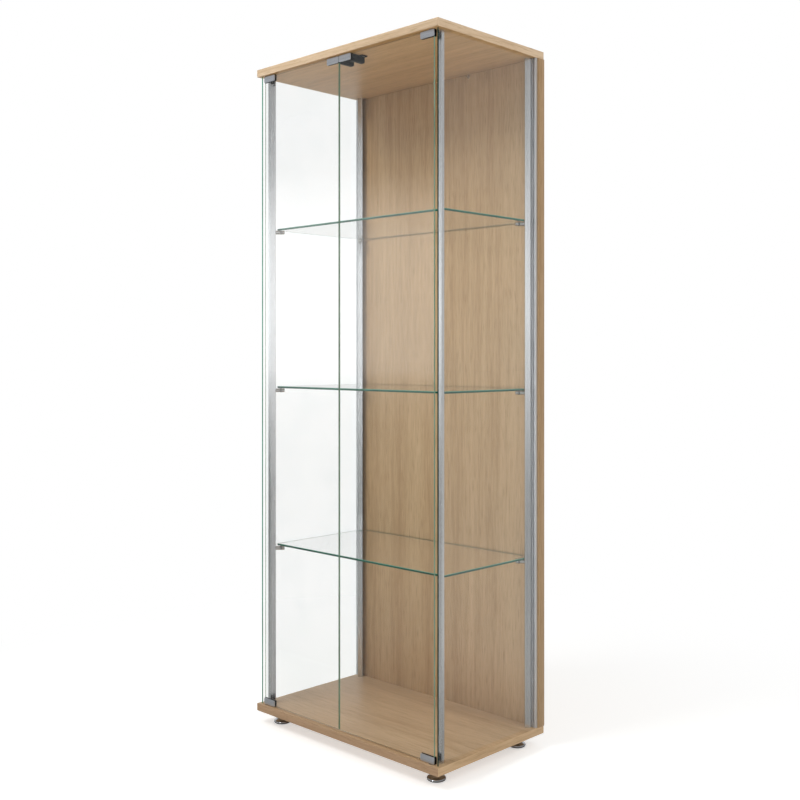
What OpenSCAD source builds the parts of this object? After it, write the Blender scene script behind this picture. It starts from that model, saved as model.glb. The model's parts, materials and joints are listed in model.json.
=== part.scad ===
// Tall glass display case: board top, base and back, four corner posts,
// glass sides, three glass shelves and two frameless glass doors on pivots.
// Millimetres, +Z up, front towards -Y, origin under the middle of the case.

/* [Case] */
// Overall height, feet included
case_h = 1630; // [1300:10:1900]
// Width of the top and base boards
case_w = 610; // [520:5:800]
// Depth of the top and base boards
case_d = 370; // [320:5:460]
// Thickness of the top and base boards
board_t = 18; // [18:1:25]
// Thickness of the back board
back_t = 22; // [16:1:24]
// How far the back board stands out past each end
back_proud = 2; // [0:0.5:4]

/* [Corner posts] */
// From the front or rear edge of the boards to a post's outer corner
post_in_y = 26; // [25:1:36]
// Width of each of a post's two outer faces
post_face = 8.8; // [8:0.2:12]
// Run of a post's slanting sides along each axis
post_run = 8.7; // [8:0.1:14]
// Depth of the groove along each slanting side
rib_depth = 0.6; // [0.3:0.1:0.9]
// Width of that groove
rib_w = 2; // [1:0.2:3]

/* [Glass] */
// Thickness of the door and side glass
glass_t = 4; // [4:0.5:6]
// From the end of the boards to the outer face of the side glass
side_in = 7; // [6:0.5:9]
// From the front edge of the boards to the side glass
side_front = 10; // [8:1:14]
// Depth of the grooves that hold the side glass
groove_depth = 4; // [3:0.5:6]
// Gap between the glass and each wall of its groove
groove_gap = 0.2; // [0.1:0.1:0.4]
// Gap over the side glass in the top groove
glass_lift = 0.5; // [0.3:0.1:1.5]

/* [Rear channels] */
// Depth of a channel, front to back
channel_depth = 8; // [6:0.5:10]
// Thickness of the channel's web against the back board
channel_web = 1.5; // [1:0.25:2.5]
// Thickness of the outer leg
leg_out = 5.3; // [3:0.1:5.6]
// Thickness of the inner leg
leg_in = 3.3; // [2:0.1:5]
// Width and depth of the grooves along a channel's front
channel_rib = 0.8; // [0.4:0.1:1.2]
// Gap between the inner leg and the post
leg_gap = 0.5; // [0.3:0.1:2]

/* [Shelves] */
// Thickness of a shelf
shelf_t = 5; // [4:0.5:8]
// Height of the lowest shelf's underside
shelf_first = 440; // [300:5:500]
// Step from one shelf to the next
shelf_step = 395; // [300:5:410]
// Gap between a shelf and the back board
shelf_back_gap = 2; // [1:0.5:6]
// Gap between a shelf and the side glass
shelf_side_gap = 13.5; // [4:0.5:18]
// Gap between a shelf's cut rear corners and the posts
shelf_post_gap = 2; // [1:0.5:5]

/* [Shelf pegs] */
// Diameter of a peg
peg_d = 9.5; // [8:0.5:10.5]
// Length of a peg outside its post
peg_l = 22; // [20:1:30]
// From the post to the front edge of the shelf, along the peg
peg_free = 11.5; // [10:0.5:13]
// From the post to the middle of the rubber ring
ring_at = 13.5; // [12:0.5:16]
// Thickness of the rubber ring
ring_t = 1.5; // [1.2:0.1:2]
// Height of the ring above the peg
ring_proud = 0.5; // [0.3:0.1:0.8]
// Diameter of the threaded stud in the post
stud_d = 5; // [4:0.5:6]
// Length of that stud
stud_l = 7; // [5:0.5:8]
// Step from a peg to the spare hole above and below it
spare_step = 32; // [20:1:60]

/* [Doors] */
// From the end of the boards to a door's hinge edge
door_in = 20; // [19.5:0.5:26]
// From the front edge of the boards to the doors' front face
door_front = 10; // [8:0.5:11]
// Where the doors meet, to the right of the middle
door_split = -13; // [-13.5:0.5:-10]
// Gap between the two doors
door_gap = 3; // [3:0.5:5]

/* [Door caps] */
// Width of the caps on the door corners
cap_w = 40; // [34:1:50]
// Height of the caps
cap_h = 15; // [13:0.5:18]
// Gap between a cap and the board beside it
cap_gap = 1; // [1:0.1:2]
// Wall of a cap along the glass edges
cap_wall = 1.5; // [1.2:0.1:2]
// Wall of a strike cap where the doors meet
strike_wall = 1; // [0.8:0.1:1.1]
// Thickness of a cap behind the glass
cap_back = 3; // [2:0.25:3.5]
// Diameter of the clamping screws' sockets behind a cap
grub_d = 3.2; // [2.5:0.1:4]
// Thickness of the metal face plate
plate_t = 2; // [1:0.25:2.5]
// Corner radius of the face plate
plate_r = 2.5; // [1:0.25:4]

/* [Pivots] */
// From a door's hinge edge to its pivot
pivot_in = 8; // [6:0.5:8.5]
// Diameter of the pivot pins
pin_d = 6; // [4:0.5:7]
// Length of a pivot pin outside its cap
pin_l = 11; // [8:0.5:13]
// Wall of a pivot bush
bush_wall = 2; // [1.5:0.25:3]
// Thickness of the bush flange
flange_t = 0.7; // [0.5:0.05:0.75]
// Width of the bush flange around its barrel
flange_w = 2; // [1:0.5:3]
// Radial running clearance of pins, studs and plungers
run_gap = 0.05; // [0.02:0.01:0.08]

/* [Push latch] */
// Distance between the two plungers
latch_pitch = 36; // [34:0.5:38]
// Width of each latch barrel
barrel_w = 14; // [12:0.5:16]
// Length of the barrels
barrel_l = 38; // [34:1:50]
// Height of the barrels under the top board
barrel_h = 16; // [14:0.5:18]
// Corner radius along the barrels
barrel_r = 3; // [1:0.5:4]
// Gap between the closed doors' caps and the barrels
barrel_gap = 3; // [2:0.5:5]
// Diameter of a plunger
plunger_d = 8; // [6:0.5:8.5]
// Length of a plunger
plunger_l = 26; // [24:1:30]
// Gap between a plunger and the closed door's cap
strike_gap = 0.3; // [0.2:0.1:0.5]
// Thickness of the fixing plate across the barrels
lug_t = 3; // [2:0.5:4]
// Length of the fixing plate, front to back
lug_l = 16; // [12:1:20]
// How far the fixing plate stands out past the barrels
lug_w = 9; // [8:0.5:12]

/* [Feet] */
// Height of a foot
foot_h = 30; // [28:1:40]
// Diameter of a foot's disc
foot_d = 42; // [32:1:48]
// Thickness of the disc at its rim
rim_t = 8; // [5:0.5:10]
// Radius of the disc's rounded edges
rim_r = 3.5; // [1:0.5:4]
// Diameter of a foot's neck
neck_d = 18; // [14:1:22]
// Diameter of a foot's threaded stem
stem_d = 10; // [8:1:10]
// Length of stem inside the base
stem_l = 13; // [10:0.5:14]
// From both edges of the base to a foot's middle
foot_in = 45; // [36:1:60]
// Wall of a foot's socket
socket_wall = 2; // [1.5:0.25:2.5]
// Thickness of the socket's flange
socket_flange_t = 1.5; // [1:0.25:2]
// Width of that flange around the socket
socket_flange_w = 4; // [2:0.5:6]

/* [Screws] */
// Diameter of the post screws
screw_d = 4.2; // [3.5:0.1:4.5]
// Length of the post screws
screw_l = 38; // [32:1:50]
// Diameter of their countersunk heads
screw_head_d = 8.4; // [7:0.2:9]
// Diameter of the latch screws
latch_screw_d = 3; // [2.5:0.1:3.5]
// Length of the latch screws
latch_screw_l = 13; // [10:1:16]
// Diameter of the cap on the back board's fixing
fixing_d = 10; // [8:0.5:12]
// From the middle to the fixing
fixing_x = 90; // [60:1:140]
// From the top board down to the middle of the fixing
fixing_drop = 6; // [6:0.5:10]

/* [Hidden] */
$fn = 48;
over = 1;
// Free depth past the end of a pin, screw or stud
end_gap = 0.5;
z_base = foot_h;
z_in0 = foot_h + board_t;
z_in1 = case_h - board_t;
y_back = case_d / 2 - back_t;
side_far = side_in + glass_t;
post_in_x = side_far + groove_gap + leg_in + leg_gap;
post_size = post_face + post_run;
post_end = (post_face + 2 * post_run) / 2;
post_mid = post_end - post_run / 2;
screw_at = post_face * 0.75;
peg_in = peg_free / sqrt(2) + post_end;
shelf_in_x = side_far + shelf_side_gap;
shelf_in_y = post_in_y + peg_in;
shelf_cut = post_in_x + post_in_y + 2 * post_end + sqrt(2) * shelf_post_gap;
ring_r = peg_d / 2 + ring_proud;
door_far = door_front + glass_t;
door_z0 = z_in0 + cap_gap + cap_wall;
door_z1 = z_in1 - cap_gap - cap_wall;
pivot_y = door_front + glass_t / 2;
pivot_x = door_in + pivot_in;
bush_r = pin_d / 2 + run_gap + bush_wall;
bush_l = pin_l + end_gap - cap_gap;
plunger_y = door_far + cap_back + strike_gap;
barrel_y = door_far + cap_back + barrel_gap;
plunger_z = z_in1 - cap_gap - cap_h / 2;
lug_y = barrel_y + barrel_l - lug_l / 2;
lug_x = latch_pitch / 2 + barrel_w / 2 + lug_w / 2;
latch_head_r = latch_screw_d;
socket_r = stem_d / 2 + run_gap + socket_wall;
socket_l = stem_l + 1;
fixing_t = 1.5;
fixing_stem_d = 5;
fixing_stem_l = 12;

oak = [0.82, 0.69, 0.55];
alu = [0.72, 0.73, 0.75];
clear = [0.72, 0.87, 0.82, 0.35];
jet = [0.1, 0.1, 0.11];
plate_grey = [0.6, 0.62, 0.66];
dark_chrome = [0.35, 0.34, 0.35];

// Draws what is given in the frame of one corner of the boards: x runs inwards
// from the end, y runs inwards from the front or rear edge.
module corner(side, edge) {
    mirror([side > 0 ? 1 : 0, 0, 0]) mirror([0, edge > 0 ? 1 : 0, 0])
        translate([-case_w / 2, -case_d / 2, 0]) children();
}

// Turns what stands on the base over, to hang from the top board.
module at_top(top) {
    if (top) translate([0, 0, z_in0 + z_in1]) mirror([0, 0, 1]) children();
    else children();
}

module each_corner() {
    for (side = [-1, 1], edge = [-1, 1]) corner(side, edge) children();
}

module rounded_rect(w, h, r) {
    translate([r, 0]) square([w - 2 * r, h]);
    translate([0, r]) square([w, h - 2 * r]);
    for (x = [r, w - r], y = [r, h - r]) translate([x, y]) circle(r);
}

// Countersunk screw along +Z, with its head's top face at z = 0.
module csk_screw(d, head_d, length) {
    head_h = (head_d - d) / 2;
    translate([0, 0, -head_h]) cylinder(d1 = d, d2 = head_d, h = head_h);
    translate([0, 0, -length]) cylinder(d = d, h = length);
}

// Everything cut into a board by its posts, glass and pivots, drawn for the base.
module board_cuts() {
    for (side = [-1, 1]) corner(side, -1) {
        translate([side_in - groove_gap, side_front - groove_gap, z_in0 - groove_depth])
            cube([glass_t + 2 * groove_gap, case_d - side_front - back_t + groove_gap, groove_depth + over]);
        translate([pivot_x, pivot_y, z_in0 - bush_l - run_gap])
            cylinder(r = bush_r + run_gap, h = bush_l + run_gap + over);
    }
    each_corner() translate([post_in_x + screw_at, post_in_y + screw_at, z_base]) {
        cylinder(d = screw_d + 2 * run_gap, h = board_t + over);
        translate([0, 0, -over]) cylinder(d = screw_d + 2 * run_gap, h = 2 * over);
        cylinder(d1 = screw_head_d + 2 * run_gap, d2 = screw_d + 2 * run_gap,
                 h = (screw_head_d - screw_d) / 2);
    }
}

module board() {
    translate([-case_w / 2, -case_d / 2, z_base]) cube([case_w, case_d, board_t]);
}

module top_panel() {
    color(oak) difference() {
        at_top(true) board();
        at_top(true) board_cuts();
        for (side = [-1, 1])
            translate([side * lug_x, lug_y - case_d / 2, z_in1 - over])
                cylinder(d = latch_screw_d + 2 * run_gap, h = latch_screw_l - lug_t + over + end_gap);
    }
}

module base_panel() {
    color(oak) difference() {
        board();
        board_cuts();
        each_corner() translate([foot_in, foot_in, z_base - over])
            cylinder(r = socket_r + run_gap, h = socket_l + over + run_gap);
    }
}

module back_panel() {
    color(oak) difference() {
        translate([-case_w / 2 - back_proud, y_back, z_in0])
            cube([case_w + 2 * back_proud, back_t, z_in1 - z_in0]);
        translate([fixing_x, y_back - over, z_in1 - fixing_drop]) rotate([-90, 0, 0])
            cylinder(d = fixing_stem_d + 2 * run_gap, h = over + fixing_stem_l + end_gap);
    }
}

// The section has its two outer faces on the axes and its blunt inner end at 45
// degrees; each slanting side has one long groove.
module post_section() {
    difference() {
        polygon([[0, 0], [post_face, 0], [post_size, post_run], [post_run, post_size], [0, post_face]]);
        for (flip = [0, 1]) mirror([flip, -flip])
            translate([post_face + post_run / 2, post_run / 2]) rotate(45)
                translate([-rib_w / 2, -over]) square([rib_w, rib_depth + over]);
    }
}

module post_bores() {
    for (z = [z_in0, z_in1])
        translate([screw_at, screw_at, z - screw_l]) cylinder(d = screw_d + 2 * run_gap, h = 2 * screw_l);
    for (shelf = [0:2], step = [-1:1])
        translate([post_end, post_end, peg_z(shelf) + step * spare_step]) rotate([0, -90, 45])
            translate([0, 0, -over]) cylinder(d = stud_d + 2 * run_gap, h = over + stud_l + end_gap);
}

module post(side, edge) {
    color(alu) corner(side, edge) translate([post_in_x, post_in_y, 0]) difference() {
        translate([0, 0, z_in0]) linear_extrude(z_in1 - z_in0) post_section();
        post_bores();
    }
}

module side_glass(side) {
    color(clear) corner(side, -1)
        translate([side_in, side_front, z_in0 - groove_depth])
            cube([glass_t, case_d - side_front - back_t - channel_web - groove_gap,
                  z_in1 - z_in0 + 2 * groove_depth - glass_lift]);
}

module rear_channel(side) {
    slot_w = glass_t + 2 * groove_gap;
    out_w = leg_out + slot_w + leg_in;
    color(alu) corner(side, 1)
        translate([side_in - groove_gap - leg_out, back_t, z_in0])
            linear_extrude(z_in1 - z_in0) difference() {
                square([out_w, channel_depth]);
                translate([leg_out, channel_web]) square([slot_w, channel_depth]);
                for (x = [leg_out / 3, leg_out * 2 / 3, out_w - leg_in / 2])
                    translate([x - channel_rib / 2, channel_depth - channel_rib])
                        square([channel_rib, channel_rib + over]);
            }
}

function shelf_z(shelf) = shelf_first + shelf * shelf_step;
function peg_z(shelf) = shelf_z(shelf) - ring_r;

// A pane with its two rear corners cut off beside the posts.
module shelf_glass(shelf) {
    x_side = case_w / 2 - shelf_in_x;
    x_rear = case_w / 2 - shelf_cut + back_t + shelf_back_gap;
    y_front = shelf_in_y - case_d / 2;
    y_side = case_d / 2 - shelf_cut + shelf_in_x;
    y_rear = case_d / 2 - back_t - shelf_back_gap;
    color(clear) translate([0, 0, shelf_z(shelf)]) linear_extrude(shelf_t)
        polygon([[-x_side, y_front], [x_side, y_front], [x_side, y_side],
                 [x_rear, y_rear], [-x_rear, y_rear], [-x_side, y_side]]);
}

// Peg frame: z runs along the peg, from the post's inner end.
module on_peg(shelf) {
    translate([post_in_x + post_end, post_in_y + post_end, peg_z(shelf)])
        rotate([0, 0, 45]) rotate([0, 90, 0]) children();
}

module peg(shelf, side, edge) {
    color(alu) corner(side, edge) on_peg(shelf) difference() {
        union() {
            cylinder(d = peg_d, h = peg_l);
            translate([0, 0, -stud_l]) cylinder(d = stud_d, h = stud_l + over);
        }
        translate([0, 0, ring_at - ring_t / 2]) difference() {
            cylinder(d = peg_d + over, h = ring_t);
            translate([0, 0, -over]) cylinder(r = ring_r - ring_t, h = ring_t + 2 * over);
        }
    }
}

module rings(shelf) {
    color(jet) each_corner() on_peg(shelf) translate([0, 0, ring_at])
        rotate_extrude() translate([ring_r - ring_t / 2, 0]) circle(d = ring_t, $fn = 24);
}

// Length of a door along x: the doors meet to one side of the middle.
function door_w(side) = case_w / 2 - side * door_split - door_gap / 2 - door_in;

module door_glass(side) {
    color(clear) corner(side, -1)
        translate([door_in, door_front, door_z0]) cube([door_w(side), glass_t, door_z1 - door_z0]);
}

// Cap frame: the glass corner is at the origin and the glass lies in x > 0, z > 0.
module cap_body(wall) {
    difference() {
        translate([-wall, 0, -cap_wall]) cube([cap_w, glass_t + cap_back, cap_h]);
        translate([0, -over, 0]) cube([cap_w + over, glass_t + over, cap_h + over]);
        for (x = [cap_w / 3, cap_w * 2 / 3])
            translate([x, glass_t + cap_back - over, cap_h / 2]) rotate([-90, 0, 0])
                cylinder(d = grub_d, h = 2 * over);
    }
}

module cap_plate(wall) {
    translate([-wall, 0, -cap_wall]) rotate([90, 0, 0])
        linear_extrude(plate_t) rounded_rect(cap_w, cap_h, plate_r);
}

module on_hinge_corner(side, top) {
    corner(side, -1) at_top(top) translate([door_in, door_front, door_z0]) children();
}

module on_strike_corner(side) {
    corner(side, -1) at_top(true) translate([door_in + door_w(side), door_front, door_z0])
        mirror([1, 0, 0]) children();
}

module hinge_body(side, top) {
    color(jet) on_hinge_corner(side, top) {
        cap_body(cap_wall);
        translate([pivot_in, glass_t / 2, -cap_wall - pin_l]) cylinder(d = pin_d, h = pin_l);
        translate([pivot_in, glass_t / 2, -cap_wall - over])
            cylinder(d = glass_t - over, h = over + cap_wall / 2);
    }
}

module hinge_plate(side, top) {
    color(plate_grey) on_hinge_corner(side, top) cap_plate(cap_wall);
}

module strike_body(side) {
    color(jet) on_strike_corner(side) cap_body(strike_wall);
}

module strike_plate(side) {
    color(plate_grey) on_strike_corner(side) cap_plate(strike_wall);
}

module pivot_bush(side, top) {
    color("tan") corner(side, -1) at_top(top) translate([pivot_x, pivot_y, z_in0]) difference() {
        union() {
            translate([0, 0, -bush_l]) cylinder(r = bush_r, h = bush_l + flange_t / 2);
            cylinder(r = bush_r + flange_w, h = flange_t);
        }
        translate([0, 0, -bush_l - over])
            cylinder(d = pin_d + 2 * run_gap, h = bush_l + 2 * over + flange_t);
    }
}

module latch_housing() {
    color(jet) difference() {
        union() {
            for (side = [-1, 1])
                translate([side * latch_pitch / 2 - barrel_w / 2, barrel_y - case_d / 2, z_in1])
                    rotate([-90, 0, 0]) linear_extrude(barrel_l) rounded_rect(barrel_w, barrel_h, barrel_r);
            translate([-lug_x - lug_w / 2, lug_y - lug_l / 2 - case_d / 2, z_in1 - lug_t])
                cube([2 * lug_x + lug_w, lug_l, lug_t]);
            translate([-latch_pitch / 2, barrel_y - case_d / 2, z_in1 - lug_t])
                cube([latch_pitch, barrel_l, lug_t]);
        }
        for (side = [-1, 1]) {
            translate([side * latch_pitch / 2, barrel_y - case_d / 2 - over, plunger_z])
                rotate([-90, 0, 0]) cylinder(d = plunger_d + 2 * run_gap, h = plunger_l + 2 * over);
            translate([side * lug_x, lug_y - case_d / 2, z_in1 - lug_t - over])
                cylinder(d = latch_screw_d + 2 * run_gap, h = lug_t + 2 * over);
            translate([side * lug_x, lug_y - case_d / 2, z_in1 - lug_t])
                cylinder(r1 = latch_head_r + run_gap, r2 = latch_screw_d / 2 + run_gap,
                         h = latch_head_r - latch_screw_d / 2);
        }
    }
}

module latch_plunger(side) {
    color("silver") translate([side * latch_pitch / 2, plunger_y - case_d / 2, plunger_z])
        rotate([-90, 0, 0]) cylinder(d = plunger_d, h = plunger_l);
}

module latch_screws() {
    color("silver") for (side = [-1, 1])
        translate([side * lug_x, lug_y - case_d / 2, z_in1 - lug_t]) mirror([0, 0, 1])
            csk_screw(latch_screw_d, 2 * latch_head_r, latch_screw_l);
}

// Rounded disc, sloping shoulder, neck and stem in one turned piece.
module foot(side, edge) {
    r = foot_d / 2;
    edge_r = min(rim_r, rim_t * 0.45);
    color(dark_chrome) corner(side, edge) translate([foot_in, foot_in, 0]) {
        rotate_extrude($fn = 64) {
            square([r - edge_r, rim_t]);
            translate([0, edge_r]) square([r, rim_t - 2 * edge_r]);
            for (z = [edge_r, rim_t - edge_r]) translate([r - edge_r, z]) circle(edge_r, $fn = 32);
            polygon([[0, rim_t - over], [r - edge_r, rim_t - over], [r - edge_r, rim_t],
                     [neck_d / 2, 2 * rim_t], [0, 2 * rim_t]]);
        }
        cylinder(d = neck_d, h = z_base - socket_flange_t - end_gap);
        cylinder(d = stem_d, h = z_base + stem_l);
    }
}

module foot_sockets() {
    color(jet) each_corner() translate([foot_in, foot_in, z_base]) difference() {
        union() {
            translate([0, 0, -socket_flange_t / 2])
                cylinder(r = socket_r, h = socket_l + socket_flange_t / 2);
            translate([0, 0, -socket_flange_t])
                cylinder(r = socket_r + socket_flange_w, h = socket_flange_t);
        }
        translate([0, 0, -socket_flange_t - over])
            cylinder(d = stem_d + 2 * run_gap, h = socket_l + socket_flange_t + 2 * over);
    }
}

module post_screws(top) {
    color("silver") at_top(top) each_corner()
        translate([post_in_x + screw_at, post_in_y + screw_at, z_base]) mirror([0, 0, 1])
            csk_screw(screw_d, screw_head_d, screw_l);
}

module back_fixing() {
    color("silver") translate([fixing_x, y_back, z_in1 - fixing_drop]) rotate([90, 0, 0]) {
        cylinder(d = fixing_d, h = fixing_t);
        translate([0, 0, -fixing_stem_l]) cylinder(d = fixing_stem_d, h = fixing_stem_l + fixing_t / 2);
    }
}

top_panel();
base_panel();
back_panel();
post(-1, -1);  // post_front_left
post(1, -1);  // post_front_right
post(-1, 1);  // post_back_left
post(1, 1);  // post_back_right
side_glass(-1);  // side_glass_left
side_glass(1);  // side_glass_right
rear_channel(-1);  // rear_channel_left
rear_channel(1);  // rear_channel_right
shelf_glass(0);  // shelf_lower
shelf_glass(1);  // shelf_middle
shelf_glass(2);  // shelf_upper
peg(0, -1, -1);  // peg_lower_front_left
peg(0, 1, -1);  // peg_lower_front_right
peg(0, -1, 1);  // peg_lower_back_left
peg(0, 1, 1);  // peg_lower_back_right
peg(1, -1, -1);  // peg_middle_front_left
peg(1, 1, -1);  // peg_middle_front_right
peg(1, -1, 1);  // peg_middle_back_left
peg(1, 1, 1);  // peg_middle_back_right
peg(2, -1, -1);  // peg_upper_front_left
peg(2, 1, -1);  // peg_upper_front_right
peg(2, -1, 1);  // peg_upper_back_left
peg(2, 1, 1);  // peg_upper_back_right
rings(0);  // rings_lower
rings(1);  // rings_middle
rings(2);  // rings_upper
door_glass(-1);  // door_glass_left
door_glass(1);  // door_glass_right
hinge_body(-1, false);  // hinge_body_left_base
hinge_body(-1, true);  // hinge_body_left_top
hinge_body(1, false);  // hinge_body_right_base
hinge_body(1, true);  // hinge_body_right_top
hinge_plate(-1, false);  // hinge_plate_left_base
hinge_plate(-1, true);  // hinge_plate_left_top
hinge_plate(1, false);  // hinge_plate_right_base
hinge_plate(1, true);  // hinge_plate_right_top
pivot_bush(-1, false);  // pivot_bush_left_base
pivot_bush(-1, true);  // pivot_bush_left_top
pivot_bush(1, false);  // pivot_bush_right_base
pivot_bush(1, true);  // pivot_bush_right_top
strike_body(-1);  // strike_body_left
strike_body(1);  // strike_body_right
strike_plate(-1);  // strike_plate_left
strike_plate(1);  // strike_plate_right
latch_housing();
latch_plunger(-1);  // latch_plunger_left
latch_plunger(1);  // latch_plunger_right
latch_screws();
foot(-1, -1);  // foot_front_left
foot(1, -1);  // foot_front_right
foot(-1, 1);  // foot_back_left
foot(1, 1);  // foot_back_right
foot_sockets();
post_screws(true);  // post_screws_top
post_screws(false);  // post_screws_base
back_fixing();
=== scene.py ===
import json
import math

import bmesh
import bpy
from mathutils import Matrix, Vector

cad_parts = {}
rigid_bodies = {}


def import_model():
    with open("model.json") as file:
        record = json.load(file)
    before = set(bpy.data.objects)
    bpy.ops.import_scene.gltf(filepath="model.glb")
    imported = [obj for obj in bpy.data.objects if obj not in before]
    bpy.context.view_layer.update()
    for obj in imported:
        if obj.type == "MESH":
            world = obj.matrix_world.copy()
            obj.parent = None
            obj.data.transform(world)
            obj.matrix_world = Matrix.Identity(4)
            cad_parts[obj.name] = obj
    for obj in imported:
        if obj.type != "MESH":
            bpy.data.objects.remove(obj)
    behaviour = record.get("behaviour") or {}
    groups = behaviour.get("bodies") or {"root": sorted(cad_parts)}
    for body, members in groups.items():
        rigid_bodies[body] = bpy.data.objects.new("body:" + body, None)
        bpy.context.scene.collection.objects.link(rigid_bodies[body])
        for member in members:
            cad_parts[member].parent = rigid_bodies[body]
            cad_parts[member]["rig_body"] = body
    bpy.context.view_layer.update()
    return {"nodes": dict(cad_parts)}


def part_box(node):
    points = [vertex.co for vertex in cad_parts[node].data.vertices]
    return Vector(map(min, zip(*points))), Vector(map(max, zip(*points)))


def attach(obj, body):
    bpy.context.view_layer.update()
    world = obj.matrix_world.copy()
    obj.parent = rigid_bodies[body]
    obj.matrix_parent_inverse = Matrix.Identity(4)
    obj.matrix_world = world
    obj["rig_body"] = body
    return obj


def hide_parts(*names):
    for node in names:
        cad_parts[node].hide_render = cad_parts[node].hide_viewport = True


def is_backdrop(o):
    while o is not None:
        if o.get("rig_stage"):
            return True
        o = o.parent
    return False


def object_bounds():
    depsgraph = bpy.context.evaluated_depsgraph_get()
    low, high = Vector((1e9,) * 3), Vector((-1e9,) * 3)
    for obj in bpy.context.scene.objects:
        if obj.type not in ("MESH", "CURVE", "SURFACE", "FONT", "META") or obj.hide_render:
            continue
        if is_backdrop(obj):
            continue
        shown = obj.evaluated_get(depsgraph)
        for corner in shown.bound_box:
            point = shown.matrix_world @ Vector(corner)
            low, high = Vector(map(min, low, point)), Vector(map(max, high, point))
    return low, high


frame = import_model()
mm = 0.001
sides = ("left", "right")
levels = ("lower", "middle", "upper")
corners = [(edge, side) for edge in ("front", "back") for side in sides]
print("frame loaded:", len(frame["nodes"]), "pieces")


# Camera: level, turned to the case's front right corner, with a small drop shift

cameraSettings = {
    "place": (1.8213, -1.8562, 0.9212),  # metres
    "turn": 44.24,  # degrees left of straight ahead
    "sensor": 36, "lens": 48.25,  # mm
    "shiftY": -0.0578,
}

cameraData = bpy.data.cameras.new("studio_camera")
cameraData.sensor_width = cameraSettings["sensor"]
cameraData.lens = cameraSettings["lens"]
cameraData.shift_y = cameraSettings["shiftY"]
camera = bpy.data.objects.new("studio_camera", cameraData)
camera.location = cameraSettings["place"]
camera.rotation_euler = (math.radians(90), 0, math.radians(cameraSettings["turn"]))
bpy.context.scene.collection.objects.link(camera)
bpy.context.scene.camera = camera
bpy.context.scene.view_settings.view_transform = "Standard"
print("camera set")


# Helpers for materials

def toLinear(hexColour):
    parts = [int(hexColour[i:i + 2], 16) / 255 for i in (1, 3, 5)]
    return [c / 12.92 if c <= 0.04045 else ((c + 0.055) / 1.055) ** 2.4 for c in parts] + [1]


def addNode(tree, kind, inputs=None, stops=(), **settings):
    node = tree.nodes.new(kind)
    for key, value in settings.items():
        setattr(node, key, value)
    for key, value in (inputs or {}).items():
        if isinstance(value, bpy.types.NodeSocket):
            tree.links.new(value, node.inputs[key])
        else:
            node.inputs[key].default_value = value
    if stops:  # the places and colours of a colour ramp, where a plain number is a grey
        ramp = node.color_ramp.elements
        ramp[0].position, ramp[1].position = stops[0][0], stops[-1][0]
        for place, _ in stops[1:-1]:
            ramp.new(place)
        for stop, (_, colour) in zip(ramp, stops):
            stop.color = toLinear(colour) if isinstance(colour, str) else [colour] * 3 + [1]
    return node


def newMaterial(name, shaderInputs):
    material = bpy.data.materials.new(name)
    material.use_nodes = True
    tree = material.node_tree
    tree.nodes.clear()
    shader = addNode(tree, "ShaderNodeBsdfPrincipled", shaderInputs)
    addNode(tree, "ShaderNodeOutputMaterial", {"Surface": shader.outputs["BSDF"]})
    return material, tree, shader


# Oak-effect melamine: printed paper pressed onto chipboard. Long soft streaks and
# short pore dashes run one way, under a smooth film with a low sheen.

oakLook = {
    "light": "#D2B48F",
    "middle": "#C6A681",
    "dark": "#B2916B",
    "pore": "#A08059",
    "toneSpread": 0.14,  # less gives more contrast between dark and light
    "bendLength": 200 * mm,  # length over which the grain wanders
    "figureWidth": 60 * mm,  # width of the broad bands of tone
    "streakWidth": 9 * mm,  # spacing of the growth lines
    "fleckWidth": 2.6 * mm,  # fine threads between them
    "fleckShare": 0.55,  # threads against growth lines
    "lineShare": 0.62,  # both of these against the broad bands
    "poreWidth": 1.2 * mm,  # real pores are about 0.3 mm, too fine to show
    "poreFrom": 0.55, "poreTo": 0.7,  # a higher start leaves fewer pores
    "poreTint": 0.75, "poreDent": 0.12, "poreDepth": 0.08 * mm,
    "stretch": 30,  # how much longer than wide the marks are
    "roughness": 0.38, "smoother": 0.05, "rougher": 0.06,  # the sheen follows the growth lines
    "shine": 0.25,  # the film mirrors half as much as bare plastic, which is 0.5
}


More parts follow.
